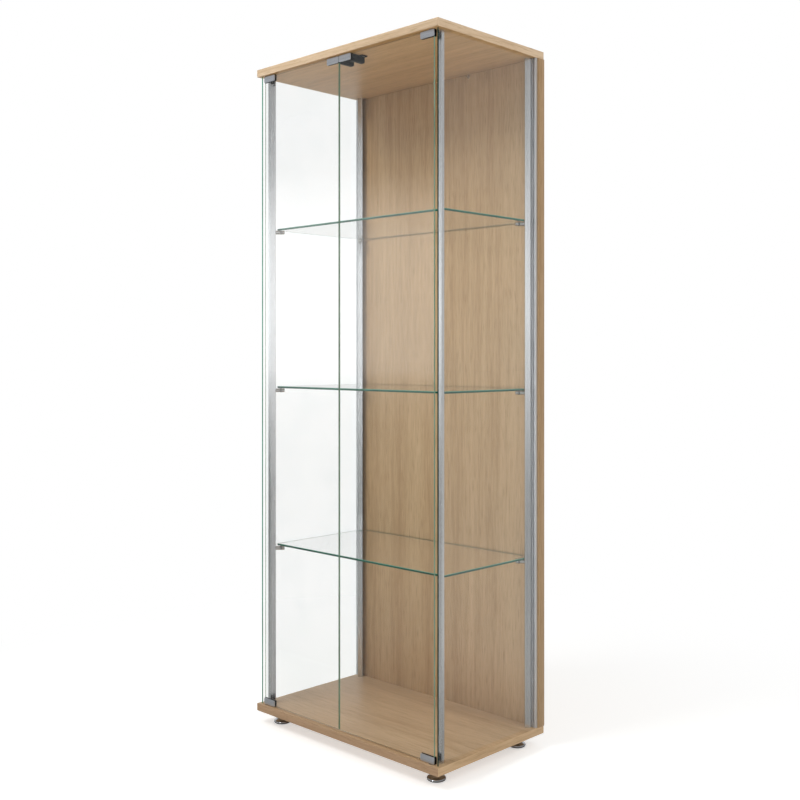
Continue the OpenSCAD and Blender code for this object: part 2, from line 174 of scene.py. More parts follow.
def oakMelamine(name, grainAxis, toneAndLight, shift):
    material, tree, shader = newMaterial(name, {
        "Roughness": oakLook["roughness"], "IOR": 1.5, "Specular IOR Level": oakLook["shine"]})
    spot = addNode(tree, "ShaderNodeTexCoord")
    squeeze = [1, 1, 1]
    squeeze["XYZ".index(grainAxis)] = 1 / oakLook["stretch"]
    long = addNode(tree, "ShaderNodeMapping", {
        "Vector": spot.outputs["Object"], "Scale": squeeze, "Location": shift})
    bend = addNode(tree, "ShaderNodeTexNoise", {
        "Vector": long.outputs["Vector"], "Scale": 1 / oakLook["bendLength"], "Detail": 1.0})
    wander = addNode(tree, "ShaderNodeVectorMath", {
        0: bend.outputs["Color"], "Scale": oakLook["figureWidth"]}, operation="SCALE")
    bent = addNode(tree, "ShaderNodeVectorMath", {
        0: long.outputs["Vector"], 1: wander.outputs["Vector"]})
    figure = addNode(tree, "ShaderNodeTexNoise", {
        "Vector": bent.outputs["Vector"], "Scale": 1 / oakLook["figureWidth"],
        "Detail": 2.0, "Roughness": 0.5})
    streaks = addNode(tree, "ShaderNodeTexNoise", {
        "Vector": bent.outputs["Vector"], "Scale": 1 / oakLook["streakWidth"],
        "Detail": 2.0, "Roughness": 0.55})
    flecks = addNode(tree, "ShaderNodeTexNoise", {
        "Vector": bent.outputs["Vector"], "Scale": 1 / oakLook["fleckWidth"],
        "Detail": 3.0, "Roughness": 0.6})
    pores = addNode(tree, "ShaderNodeTexNoise", {
        "Vector": long.outputs["Vector"], "Scale": 1 / oakLook["poreWidth"], "Detail": 2.0})
    lines = addNode(tree, "ShaderNodeMix", {
        0: oakLook["fleckShare"], 2: streaks.outputs["Fac"], 3: flecks.outputs["Fac"]},
        data_type="FLOAT")
    both = addNode(tree, "ShaderNodeMix", {
        0: oakLook["lineShare"], 2: figure.outputs["Fac"], 3: lines.outputs[0]},
        data_type="FLOAT")
    colour = addNode(tree, "ShaderNodeValToRGB", {"Fac": both.outputs[0]}, [
        (0.5 - oakLook["toneSpread"], oakLook["dark"]),
        (0.5, oakLook["middle"]),
        (0.5 + oakLook["toneSpread"], oakLook["light"])])
    poreMask = addNode(tree, "ShaderNodeMapRange", {
        "Value": pores.outputs["Fac"], "From Min": oakLook["poreFrom"],
        "From Max": oakLook["poreTo"], "To Max": oakLook["poreTint"]})
    grained = addNode(tree, "ShaderNodeMix", {
        0: poreMask.outputs["Result"], 6: colour.outputs["Color"],
        7: toLinear(oakLook["pore"])}, data_type="RGBA")
    # the face's tone multiplies the grain, and paints in that face's light and shade
    grainToneAndLight = addNode(tree, "ShaderNodeMix", {
        0: 1.0, 6: grained.outputs[2], 7: [*toneAndLight, 1]}, data_type="RGBA", blend_type="MULTIPLY")
    tree.links.new(grainToneAndLight.outputs[2], shader.inputs["Base Color"])
    sheen = addNode(tree, "ShaderNodeMapRange", {
        "Value": streaks.outputs["Fac"], "To Min": oakLook["roughness"] - oakLook["smoother"],
        "To Max": oakLook["roughness"] + oakLook["rougher"]})
    tree.links.new(sheen.outputs["Result"], shader.inputs["Roughness"])
    dents = addNode(tree, "ShaderNodeBump", {
        "Height": pores.outputs["Fac"], "Strength": oakLook["poreDent"],
        "Distance": oakLook["poreDepth"]})
    tree.links.new(dents.outputs["Normal"], shader.inputs["Normal"])
    return material


# Boards are pressed, and ABS or paper edging is glued on with heat: each face is cut from its own
# part of the print and has its own tone. These tones also paint in light and shade: the top's
# front and side edging and the base's side edging lighter and whiter, as lit, and the base's front
# edging and the back board's edging darker, as shaded.
oakFaces = {  # name, way of the grain, tone with painted light and shade, place on the print
    "top": ("oak_melamine_pressed_top", "X", (1.06, 0.94, 0.75), (0, 0, 0)),
    "topFront": ("oak_abs_edging_top_front", "X", (1.1, 1.22, 1.42), (0, 0.4, 0.2)),
    "topSide": ("oak_abs_edging_top_side", "Y", (1.12, 1.2, 1.34), (0.7, 0, 0.1)),
    "base": ("oak_melamine_pressed_base", "X", (0.97, 0.95, 0.94), (0, 0.9, 0.5)),
    "baseFront": ("oak_abs_edging_base_front", "X", (0.81, 0.77, 0.79), (0, 0.7, 0.3)),
    "baseSide": ("oak_abs_edging_base_side", "Y", (1.16, 1.18, 1.2), (0.3, 0, 0.6)),
    "back": ("oak_melamine_pressed_upright", "Z", (0.95, 0.92, 0.85), (0.31, 0.12, 0)),
    "backSide": ("oak_paper_edging_upright", "Z", (0.78, 0.76, 0.74), (0.2, 0.6, 0)),
}
oak = {face: oakMelamine(*finish) for face, finish in oakFaces.items()}


# Clear float glass: polished faces almost vanish, with a faint green cast.
# Lamps and soft light pass straight through, so that the case is lit inside.

glassLook = {
    "face": "#FEFFFF",
    "shine": 0.25,  # clean, dust-free faces in an even light mirror little
    "smear": "#FAFCFC",  # wiping marks dim the glass by a hair
    "smearFrom": 0.45, "smearTo": 0.8, "smearsPerMetre": 9.0,
    # An edge shows the green of the whole width of its pane: deeper runs, lighter runs, and how
    # clear it is. The left pane's edge is painted light, for the light behind it, and the right
    # one's is painted dark, as painted shade from the dark end of the case.
    "edges": {
        "door": ("#82A488", "#9ABCA2", 0.3),
        "left": ("#23896A", "#43A686", 0.3),
        "right": ("#1D3A33", "#2F5A4C", 0.5),
        "shelf": ("#07483A", "#14604C", 0.15),
        "end": ("#BBA98A", "#CBBA9B", 0.5),  # painted reflection: a door's top and bottom are painted in the boards' tone
    },
    "runFrom": 0.35, "runTo": 0.62, "runsPerMetre": 11.0,
    "edgeRoughness": 0.12,
    "edgeShine": 0.15,  # with more, the pale surround in the edges would hide their green
    "shelfEdgeLight": "#6FA892",  # the upper part of a shelf's edge, painted lighter, as painted light where the light gets out
    "edgeLightFrom": 0.6, "edgeLightTo": 0.9,  # parts of the shelf's thickness
    "arris": 0.4 * mm,  # ground corner along every edge
}


def floatGlassFace():
    clear = toLinear(glassLook["face"])
    material, tree, shader = newMaterial("float_glass_polished_face", {
        "Base Color": clear, "Roughness": 0.0, "IOR": 1.5, "Transmission Weight": 1.0,
        "Specular IOR Level": glassLook["shine"]})
    spot = addNode(tree, "ShaderNodeTexCoord")
    smears = addNode(tree, "ShaderNodeTexNoise", {
        "Vector": spot.outputs["Object"], "Scale": glassLook["smearsPerMetre"], "Detail": 3.0})
    wiped = addNode(tree, "ShaderNodeValToRGB", {"Fac": smears.outputs["Fac"]}, [
        (glassLook["smearFrom"], glassLook["face"]), (glassLook["smearTo"], glassLook["smear"])])
    tree.links.new(wiped.outputs["Color"], shader.inputs["Base Color"])
    straight = addNode(tree, "ShaderNodeBsdfTransparent", {"Color": clear})
    ray = addNode(tree, "ShaderNodeLightPath")
    soft = addNode(tree, "ShaderNodeMath", {
        0: ray.outputs["Is Shadow Ray"], 1: ray.outputs["Is Diffuse Ray"]}, operation="MAXIMUM")
    both = addNode(tree, "ShaderNodeMixShader", {
        0: soft.outputs["Value"], 1: shader.outputs["BSDF"], 2: straight.outputs["BSDF"]})
    tree.links.new(both.outputs["Shader"], tree.nodes["Material Output"].inputs["Surface"])
    return material


def floatGlassEdge(kind):
    # Edges are ground and then polished, with soft darker and lighter runs
    deep, pale, clearness = glassLook["edges"][kind]
    material, tree, shader = newMaterial(f"float_glass_ground_edge_{kind}", {
        "Roughness": glassLook["edgeRoughness"], "IOR": 1.5, "Transmission Weight": clearness,
        "Specular IOR Level": glassLook["edgeShine"]})
    spot = addNode(tree, "ShaderNodeTexCoord")
    runs = addNode(tree, "ShaderNodeTexNoise", {
        "Vector": spot.outputs["Object"], "Scale": glassLook["runsPerMetre"], "Detail": 4.0})
    colour = addNode(tree, "ShaderNodeValToRGB", {"Fac": runs.outputs["Fac"]}, [
        (glassLook["runFrom"], deep), (glassLook["runTo"], pale)]).outputs["Color"]
    # a shelf's edge is painted lighter towards its top, as painted light
    if kind == "shelf":
        rise = addNode(tree, "ShaderNodeSeparateXYZ", {"Vector": spot.outputs["Generated"]})
        upper = addNode(tree, "ShaderNodeMapRange", {
            "Value": rise.outputs["Z"], "From Min": glassLook["edgeLightFrom"],
            "From Max": glassLook["edgeLightTo"]}, interpolation_type="SMOOTHSTEP")
        colour = addNode(tree, "ShaderNodeMix", {
            0: upper.outputs["Result"], 6: colour, 7: toLinear(glassLook["shelfEdgeLight"])},
            data_type="RGBA").outputs[2]
    tree.links.new(colour, shader.inputs["Base Color"])
    return material


glassFace = floatGlassFace()
glassEdges = {kind: floatGlassEdge(kind) for kind in glassLook["edges"]}


# Metals and plastics

metalLook = {
    "lineSqueeze": 0.0008,  # the pattern along the lines, against across them
    "lineFrom": 0.3, "lineTo": 0.7,
    "lineShade": 0.9,  # how much darker the colour is painted in a line's bottom, as painted shade
    "lineDepth": 0.02 * mm,
    "smoothest": 0.02,
}
plasticLook = {
    "grainFrom": 0.35, "grainTo": 0.7,
    "spread": 0.08,  # of the roughness, to either side
    "dent": 0.25, "dentDepth": 0.03 * mm,
}


def drawnMetal(name, colour, roughness, lineWidth, lineAxis="Z", spread=0.08, dent=0.05):
    # Lines from the die, the brush or the lathe run one way and spread the shine across them
    material, tree, shader = newMaterial(name, {
        "Base Color": toLinear(colour), "Metallic": 1.0, "Roughness": roughness})
    squeeze = [1, 1, 1]
    squeeze["XYZ".index(lineAxis)] = metalLook["lineSqueeze"]
    spot = addNode(tree, "ShaderNodeTexCoord")
    long = addNode(tree, "ShaderNodeMapping", {"Vector": spot.outputs["Object"], "Scale": squeeze})
    lines = addNode(tree, "ShaderNodeTexNoise", {
        "Vector": long.outputs["Vector"], "Scale": 1 / lineWidth, "Detail": 3.0})
    # painted shade: the colour is darkened along the bottom of each line
    shade = addNode(tree, "ShaderNodeValToRGB", {"Fac": lines.outputs["Fac"]}, [
        (metalLook["lineFrom"], metalLook["lineShade"]), (metalLook["lineTo"], 1.0)])
    tinted = addNode(tree, "ShaderNodeMix", {
        0: 1.0, 6: toLinear(colour), 7: shade.outputs["Color"]},
        data_type="RGBA", blend_type="MULTIPLY")
    tree.links.new(tinted.outputs[2], shader.inputs["Base Color"])
    rough = addNode(tree, "ShaderNodeMapRange", {
        "Value": lines.outputs["Fac"],
        "From Min": metalLook["lineFrom"], "From Max": metalLook["lineTo"],
        "To Min": max(roughness - spread / 2, metalLook["smoothest"]),
        "To Max": roughness + spread / 2})
    tree.links.new(rough.outputs["Result"], shader.inputs["Roughness"])
    ridges = addNode(tree, "ShaderNodeBump", {
        "Height": lines.outputs["Fac"], "Strength": dent, "Distance": metalLook["lineDepth"]})
    tree.links.new(ridges.outputs["Normal"], shader.inputs["Normal"])
    return material


def mouldedPlastic(name, colour, pale, roughness, grit, shine=0.5):
    # A fine spark-eroded skin from the mould breaks up the shine
    material, tree, shader = newMaterial(name, {
        "Roughness": roughness, "IOR": 1.5, "Specular IOR Level": shine})
    spot = addNode(tree, "ShaderNodeTexCoord")
    skin = addNode(tree, "ShaderNodeTexNoise", {
        "Vector": spot.outputs["Object"], "Scale": 1 / grit, "Detail": 2.0})
    grainy = addNode(tree, "ShaderNodeValToRGB", {"Fac": skin.outputs["Fac"]}, [
        (plasticLook["grainFrom"], colour), (plasticLook["grainTo"], pale)])
    tree.links.new(grainy.outputs["Color"], shader.inputs["Base Color"])
    rough = addNode(tree, "ShaderNodeMapRange", {
        "Value": skin.outputs["Fac"], "To Min": roughness - plasticLook["spread"],
        "To Max": roughness + plasticLook["spread"]})
    tree.links.new(rough.outputs["Result"], shader.inputs["Roughness"])
    grain = addNode(tree, "ShaderNodeBump", {
        "Height": skin.outputs["Fac"], "Strength": plasticLook["dent"],
        "Distance": plasticLook["dentDepth"]})
    tree.links.new(grain.outputs["Normal"], shader.inputs["Normal"])
    return material


# Extruded, etched and anodised: an even grey shine, drawn out along the die's lines.
# Those are about 0.2 mm wide and are drawn coarser, so that they show.
anodisedAluminium = drawnMetal("anodised_aluminium_extruded", "#D8D9DB", 0.25, 1.5 * mm)
# The same, etched for longer: pale and matt
anodisedMatt = drawnMetal("anodised_aluminium_matt_extruded", "#EDEEF0", 0.42, 1.5 * mm)
# Turned brass under bright nickel: crisp small glints with a warm tinge
nickelPlated = drawnMetal("nickel_plated_brass_turned", "#D0D0CD", 0.12, 0.3 * mm)
# Pressed plate, brushed before it was plated: soft streaks along it
satinNickel = drawnMetal("satin_nickel_pressed_plate", "#CDD1D8", 0.30, 0.4 * mm, "X", dent=0.1)
# Rolled steel with a thin coat of zinc: a duller, bluish grey
zincPlated = drawnMetal("zinc_plated_steel_rolled", "#BFC3C6", 0.32, 0.4 * mm)
# Spun steel, polished and plated: a smooth mirror, only a little dulled
blackChrome = drawnMetal("black_chrome_spun_steel", "#ACAEB2", 0.12, 1.5 * mm,
                         spread=0.06, dent=0.03)
# Moulded nylon: deep black with hardly any shine
blackNylon = mouldedPlastic("black_nylon_moulded", "#040608", "#080B0F", 0.45, 0.4 * mm, 0.05)
# Moulded rubber: matt, and a little greyer
blackRubber = mouldedPlastic("black_nitrile_rubber_moulded", "#101010", "#191919", 0.7, 0.3 * mm)
# Moulded acetal: waxy, with a soft sheen
beigeAcetal = mouldedPlastic("beige_acetal_moulded", "#86705A", "#927C64", 0.4, 0.4 * mm)
print("materials made")


# Helpers for meshes

meshSettings = {
    "weld": 0.002 * mm, "spunWeld": 0.001 * mm,
    "flatAngle": 0.5,  # degrees; faces closer than this to level are joined
    "sharpAngle": 32,  # degrees; smooth shading stops at sharper corners
    "easedAngle": 30,  # degrees; corners sharper than this are eased
    "facing": 0.9, "leaning": 0.6,  # how squarely a face looks along an axis
}


def sharpenCorners(mesh):
    sharp = math.radians(meshSettings["sharpAngle"])
    shape = bmesh.new()
    shape.from_mesh(mesh)
    for face in shape.faces:
        face.smooth = True
    for edge in shape.edges:
        edge.smooth = not (edge.is_manifold and edge.calc_face_angle(0) > sharp)
    shape.to_mesh(mesh)
    shape.free()


def joinFlatFaces(shape):
    # The frame's shapes come in triangles
    bmesh.ops.remove_doubles(shape, verts=shape.verts, dist=meshSettings["weld"])
    bmesh.ops.dissolve_limit(shape, angle_limit=math.radians(meshSettings["flatAngle"]),
                             verts=shape.verts, edges=shape.edges)


def addPiece(name, mesh, body, materials, nodes=()):
    piece = bpy.data.objects.new(name, mesh)
    bpy.context.scene.collection.objects.link(piece)
    for material in materials:
        mesh.materials.append(material)
    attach(piece, body)
    if nodes:
        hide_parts(*nodes)
    return piece


def arrised(name, shape, arris, segments):
    # Eases every corner and gives a mesh with its face slots left at 0
    mesh = bpy.data.meshes.new(name)
    bmesh.ops.bevel(shape, geom=shape.edges[:], offset=arris, segments=segments,
                    profile=0.5, affect="EDGES")
    shape.to_mesh(mesh)
    shape.free()
    return mesh


def arrisedBox(name, node, arris, segments):
    low, high = map(Vector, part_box(node))
    shape = bmesh.new()
    bmesh.ops.create_cube(shape, size=1, matrix=Matrix.Translation((low + high) / 2)
                          @ Matrix.Diagonal((*(high - low), 1)))
    return arrised(name, shape, arris, segments)


def arrisedPlate(name, node, arris):
    # The same for a flat piece of any outline
    shape = bmesh.new()
    shape.from_mesh(frame["nodes"][node].data)
    joinFlatFaces(shape)
    return arrised(name, shape, arris, 1)


def slotByDirection(mesh, choose):
    for face in mesh.polygons:
        face.material_index = choose(face.normal)


def softened(node, name, material, width, segments=2):
    # A copy of the node's own shape with its corners eased by width
    source = frame["nodes"][node]
    mesh = source.data.copy()
    mesh.name = name
    mesh.materials.clear()
    shape = bmesh.new()
    shape.from_mesh(mesh)
    joinFlatFaces(shape)
    shape.to_mesh(mesh)
    shape.free()
    sharpenCorners(mesh)
    piece = addPiece(name, mesh, source["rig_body"], [material], [node])
    ease = piece.modifiers.new("eased_corners", "BEVEL")
    ease.width = width
    ease.segments = segments
    ease.limit_method = "ANGLE"
    ease.angle_limit = math.radians(meshSettings["easedAngle"])
    ease.harden_normals = True
    ease.use_clamp_overlap = True


def turned(name, profile, segments, place):
    # Spins (radius, height) points in mm about Z and sets the result in its place
    mesh = bpy.data.meshes.new(name)
    shape = bmesh.new()
    points = [shape.verts.new((r * mm, 0, z * mm)) for r, z in profile]
    lines = [shape.edges.new(pair) for pair in zip(points, points[1:])]
    bmesh.ops.spin(shape, geom=points + lines, cent=(0, 0, 0), axis=(0, 0, 1),
                   angle=math.tau, steps=segments, use_merge=True, use_duplicate=False)
    bmesh.ops.remove_doubles(shape, verts=shape.verts, dist=meshSettings["spunWeld"])
    bmesh.ops.recalc_face_normals(shape, faces=shape.faces)
    shape.to_mesh(mesh)
    shape.free()
    sharpenCorners(mesh)
    mesh.transform(place)
    return mesh


# Boards

boardSettings = {
    "arris": 0.6 * mm, "arrisSegments": 2,
    "bandRadius": 0.7 * mm, "bandSegments": 3,  # edging is rounded more than the back's corners
}


def boardSlot(normal):
    if abs(normal.z) > meshSettings["facing"]:
        return 0
    return 1 if abs(normal.y) > meshSettings["leaning"] else 2


for end in ("top", "base"):
    mesh = arrisedBox(f"{end}_board", f"{end}_panel", boardSettings["bandRadius"],
                      boardSettings["bandSegments"])
    slotByDirection(mesh, boardSlot)
    sharpenCorners(mesh)
    addPiece(f"{end}_board", mesh, "case",
             [oak[end], oak[end + "Front"], oak[end + "Side"]], [f"{end}_panel"])

mesh = arrisedBox("back_board", "back_panel", boardSettings["arris"],
                  boardSettings["arrisSegments"])
slotByDirection(mesh, lambda normal: 0 if abs(normal.y) > meshSettings["facing"] else 1)
sharpenCorners(mesh)
addPiece("back_board", mesh, "case", [oak["back"], oak["backSide"]], ["back_panel"])
print("boards made")


# Glass

def makePane(node, name, body, kind):
    facing, leaning = meshSettings["facing"], meshSettings["leaning"]
    thinAxis = {"door": 1, "shelf": 2}.get(kind, 0)
    if kind == "shelf":
        mesh = arrisedPlate(name, node, glassLook["arris"])
    else:
        mesh = arrisedBox(name, node, glassLook["arris"], 1)

    def paneSlot(normal):
        upright = abs(normal.z) > leaning
        if abs(normal[thinAxis]) > facing:
            return 0
        # A side pane's edges in the boards and the channel stay clear, as no light gets in
        if kind in sides and (upright or normal.y > leaning):
            return 0
        return 2 if kind == "door" and upright else 1

    slotByDirection(mesh, paneSlot)
    for face in mesh.polygons:
        face.use_smooth = False
    # a door's top and bottom edges are painted in the boards' tone, as a painted reflection of
    # them
    boardToneEdges = [glassEdges["end"]] if kind == "door" else []
    addPiece(name, mesh, body, [glassFace, glassEdges[kind], *boardToneEdges], [node])


for side in sides:
    makePane(f"side_glass_{side}", f"side_pane_{side}", "case", side)
    makePane(f"door_glass_{side}", f"door_pane_{side}", f"door_{side}", "door")
for level in levels:
    makePane(f"shelf_{level}", f"glass_shelf_{level}", "case", "shelf")
print("glass made")


# Posts and rear channels

extrusionSettings = {"postCorner": 0.35 * mm, "channelCorner": 0.12 * mm}

for edge, side in corners:
    softened(f"post_{edge}_{side}", f"aluminium_post_{edge}_{side}",
             anodisedAluminium, extrusionSettings["postCorner"])
for side in sides:
    softened(f"rear_channel_{side}", f"glazing_channel_{side}",
             anodisedMatt, extrusionSettings["channelCorner"], 1)
print("posts and channels made")


# Shelf pegs, turned, with a rubber ring in the groove of each

pegSettings = {
    "length": 22,  # all in mm
    "chamfer": 0.7,
    "chamferBulge": (0.35, 0.3),  # parts of the chamfer at its middle; (0.5, 0.5) is a flat one
    "grooveCorner": 0.2,
    "heelCorner": 0.3,  # where the peg meets its post
    "ringAt": 13.5,
    "ringThick": 2.2,
    "ringProud": 0.5,
    "studRadius": 2.5,
    "studLength": 7,
    "studCorner": 0.4,
    "segments": 40, "ringSegments": 16,
}


def pegPlace(node):
    low, high = map(Vector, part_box(node))
    inward = Vector((-1 if low.x > 0 else 1, -1 if low.y > 0 else 1, 0)).normalized()
    radius = (high.z - low.z) / 2
    tip = Vector((high.x if low.x < 0 else low.x, high.y if low.y < 0 else low.y,
                  (low.z + high.z) / 2)) - inward * radius
    turn = Vector((0, 0, 1)).rotation_difference(inward).to_matrix().to_4x4()
    return Matrix.Translation(tip - inward * pegSettings["length"] * mm) @ turn, radius / mm


def pegProfile(radius):
    s = pegSettings
    stud, root, ease, length = s["studRadius"], -s["studLength"], s["studCorner"], s["length"]
    heel, lip, chamfer = s["heelCorner"], s["grooveCorner"], s["chamfer"]
    bulgeIn, bulgeDown = [chamfer * part for part in s["chamferBulge"]]
    near, far = s["ringAt"] - s["ringThick"] / 2, s["ringAt"] + s["ringThick"] / 2
    deep = radius + s["ringProud"] - s["ringThick"]
    return [
        (0, root), (stud - ease, root), (stud, root + ease), (stud, 0),
        (radius - heel, 0), (radius, heel),
        (radius, near - lip), (radius - lip, near), (deep, near),
        (deep, far), (radius - lip, far), (radius, far + lip),
        (radius, length - chamfer), (radius - bulgeIn, length - bulgeDown),
        (radius - chamfer, length), (0, length)]


def ringProfile(radius):
    s = pegSettings
    r = s["ringThick"] / 2
    middle = radius + s["ringProud"] - r
    turns = [math.tau * i / s["ringSegments"] for i in range(s["ringSegments"] + 1)]
    return [(middle + r * math.cos(a), s["ringAt"] + r * math.sin(a)) for a in turns]


for level in levels:
    rings = bmesh.new()
    for edge, side in corners:
        node = f"peg_{level}_{edge}_{side}"
        place, radius = pegPlace(node)
        mesh = turned(f"shelf_{node}", pegProfile(radius), pegSettings["segments"], place)
        addPiece(f"shelf_{node}", mesh, "case", [nickelPlated], [node])
        ringMesh = turned("ring", ringProfile(radius), pegSettings["segments"], place)
        rings.from_mesh(ringMesh)
        bpy.data.meshes.remove(ringMesh)
    mesh = bpy.data.meshes.new(f"peg_rings_{level}")
    rings.to_mesh(mesh)
    rings.free()
    addPiece(f"peg_rings_{level}", mesh, "case", [blackRubber], [f"rings_{level}"])
print("pegs made")


# Door caps, pivots and bushes

capSettings = {
    "bodyCorner": 0.35 * mm,
    "plateCorner": 0.45 * mm, "plateSegments": 3,
    "bushCorner": 0.15 * mm,
}


def makeCap(bodyNode, plateNode, name, suffix):
    softened(bodyNode, f"{name}_{suffix}", blackNylon, capSettings["bodyCorner"])
    softened(plateNode, f"{name}_face_{suffix}", satinNickel,
             capSettings["plateCorner"], capSettings["plateSegments"])


for side in sides:
    for end in ("base", "top"):
        makeCap(f"hinge_body_{side}_{end}", f"hinge_plate_{side}_{end}", "pivot_cap",
                f"{side}_{end}")
        softened(f"pivot_bush_{side}_{end}", f"acetal_bush_{side}_{end}",
                 beigeAcetal, capSettings["bushCorner"])
    makeCap(f"strike_body_{side}", f"strike_plate_{side}", "strike_cap", side)
print("door caps made")


# Push latch, screws and the fixing on the back board

latchSettings = {
    "housingCorner": 0.5 * mm,
    "plungerCorner": 0.6 * mm,
    "screwCorner": 0.15 * mm,
    "fixingCorner": 0.5 * mm,
    "roundSegments": 3,
}

softened("latch_housing", "push_latch_housing", blackNylon,
         latchSettings["housingCorner"])
for side in sides:
    softened(f"latch_plunger_{side}", f"push_latch_plunger_{side}", nickelPlated,
             latchSettings["plungerCorner"], latchSettings["roundSegments"])
screws = {
    "latch_screws": "push_latch_screws",
    "post_screws_top": "countersunk_screws_top",
    "post_screws_base": "countersunk_screws_base",
}
for node, name in screws.items():
    softened(node, name, zincPlated, latchSettings["screwCorner"])
softened("back_fixing", "back_board_fixing", nickelPlated,
         latchSettings["fixingCorner"], latchSettings["roundSegments"])
print("latch and fixing made")


# Feet: spun steel discs with a black pad underneath, on a threaded stem

footSettings = {
    "radius": 21,  # all in mm
    "inset": 0.05,  # keeps the rim inside the frame's own disc
    "rimFrom": 0.6, "rimTo": 7.9, "rimRound": 3.5,
    "shoulderFrom": 8, "shoulderTo": 16,
    "step": 0.25,  # where the shoulder starts inside the rim
    "hollow": 1.6,  # more makes the shoulder more dished; 1 is a plain cone
    "underside": 0.8,
    "neckRadius": 9, "neckTo": 28, "neckCorner": (0.5, 1.5),
    "stemRadius": 5, "stemTo": 43, "stemCorner": 0.5,
    "padRadius": 17, "padHeight": 1.2, "padCorner": (0.5, 0.4),
    "segments": 96, "roundSteps": 8,
    "socketCorner": 0.2 * mm,
}


def footProfile():
    # A rounded rim, a hollow shoulder up to the neck, then the neck and its stem
    s = footSettings
    rim, neck, stem = s["rimRound"], s["neckRadius"], s["stemRadius"]
    middle = s["radius"] - rim - s["inset"]
    steps = [i / s["roundSteps"] for i in range(s["roundSteps"] + 1)]
    quarter = [math.pi / 2 * t for t in steps]
    under = [(middle + rim * math.sin(a), s["rimFrom"] + rim - rim * math.cos(a)) for a in quarter]
    over = [(middle + rim * math.cos(a), s["rimTo"] - rim + rim * math.sin(a)) for a in quarter]
    start, rise = middle - s["step"], s["shoulderTo"] - s["shoulderFrom"]
    shoulder = [(start - (start - neck) * t, s["shoulderFrom"] + rise * t ** s["hollow"])
                for t in steps]
    neckIn, neckDown = s["neckCorner"]
    return [(0, s["underside"])] + under + over + shoulder + [
        (neck, s["neckTo"] - neckDown), (neck - neckIn, s["neckTo"]), (stem, s["neckTo"]),
        (stem, s["stemTo"] - s["stemCorner"]), (stem - s["stemCorner"], s["stemTo"]),
        (0, s["stemTo"])]


def padProfile():
    radius, height = footSettings["padRadius"], footSettings["padHeight"]
    cornerIn, cornerUp = footSettings["padCorner"]
    return [(0, 0), (radius - cornerIn, 0), (radius, cornerUp), (radius, height), (0, height)]


for edge, side in corners:
    node = f"foot_{edge}_{side}"
    low, high = map(Vector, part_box(node))
    place = Matrix.Translation(((low.x + high.x) / 2, (low.y + high.y) / 2, 0))
    mesh = turned(f"spun_{node}", footProfile(), footSettings["segments"], place)
    addPiece(f"spun_{node}", mesh, "case", [blackChrome], [node])
    mesh = turned(f"pad_{node}", padProfile(), footSettings["segments"], place)
    addPiece(f"pad_{node}", mesh, "case", [blackRubber])
softened("foot_sockets", "threaded_sockets", blackNylon,
         footSettings["socketCorner"])
print("feet made")


# Studio: pale floor, white surround, soft lamps

studioSettings = {
    "floorColour": "#E4E4E2",
    "floorSize": 160,  # metres
    "floorLift": 0.53,  # brings the lit floor up to white and keeps the shadow
    "floorBounce": 0.2,  # the floor's own light on what stands over it
    "floorShine": 0.36,  # how bright metal mirrors the floor behind the case
    "shelfShine": 0.3,  # added to that on the left, where only level faces mirror the floor
    "mirroredFloor": "#B4B4B2",
    "fadeFrom": 0.5, "fadeTo": 1.5,  # metres over which the floor runs into the surround
    "farFrom": 4, "farTo": 55,  # the same for the floor as metal and glass mirror it
    "floorRear": (0.0, 0.8), "floorLeft": (0.0, -2.0),  # where those parts of it start and end
    "aheadGlow": 1.5, "behindGlow": 0.72,  # the mirrored surround where the floor runs into it
    "glassGain": 0.08,  # what a pane takes, by which the surround behind it is lifted
    "ambient": 0.8,
    # Brightness of the surround from eye level, 0, to straight up, 1: as it lights the case,
    # and as metal and glass mirror it, which is white in front of the case at eye level and
    # a softer grey above and behind
    "walls": [(0.0, 1.0), (0.09, 0.95), (0.3, 0.42), (0.75, 0.5), (1.0, 0.62)],
    "ahead": [(0.0, 1.0), (0.11, 1.0), (0.17, 0.25), (0.6, 0.23), (1.0, 0.3)],
    "behind": [(0.0, 0.44), (0.3, 0.36), (1.0, 0.34)],
    "shelfGlow": 0.6,  # the same behind the case to the left, at any height
    "skyRear": (-0.15, 0.25), "skyLeft": (0.0, -0.5),
    "mirrorStrength": 1.6,
}


def rayKinds(tree):
    # Rays seen straight or through glass, and rays mirrored by metal or glass, which may
    # cross a pane after
    ray = addNode(tree, "ShaderNodeLightPath")
    through = ray.outputs["Is Transmission Ray"]
    shone = addNode(tree, "ShaderNodeMath", {
        0: ray.outputs["Glossy Depth"], 1: 1.0}, operation="MINIMUM")
    mirroredThrough = addNode(tree, "ShaderNodeMath", {
        0: through, 1: shone.outputs["Value"]}, operation="MULTIPLY")
    plainThrough = addNode(tree, "ShaderNodeMath", {
        0: through, 1: mirroredThrough.outputs["Value"]}, operation="SUBTRACT")
    seen = addNode(tree, "ShaderNodeMath", {
        0: ray.outputs["Is Camera Ray"], 1: plainThrough.outputs["Value"]}, operation="MAXIMUM")
    # A ray that a clean pane lets through counts as glossy too, so what is seen is taken off
    shiny = addNode(tree, "ShaderNodeMath", {
        0: ray.outputs["Is Glossy Ray"], 1: mirroredThrough.outputs["Value"]},
        operation="MAXIMUM")
    mirrored = addNode(tree, "ShaderNodeMath", {
        0: shiny.outputs["Value"], 1: seen.outputs["Value"]},
        operation="SUBTRACT", use_clamp=True)
    return seen.outputs["Value"], mirrored.outputs["Value"]


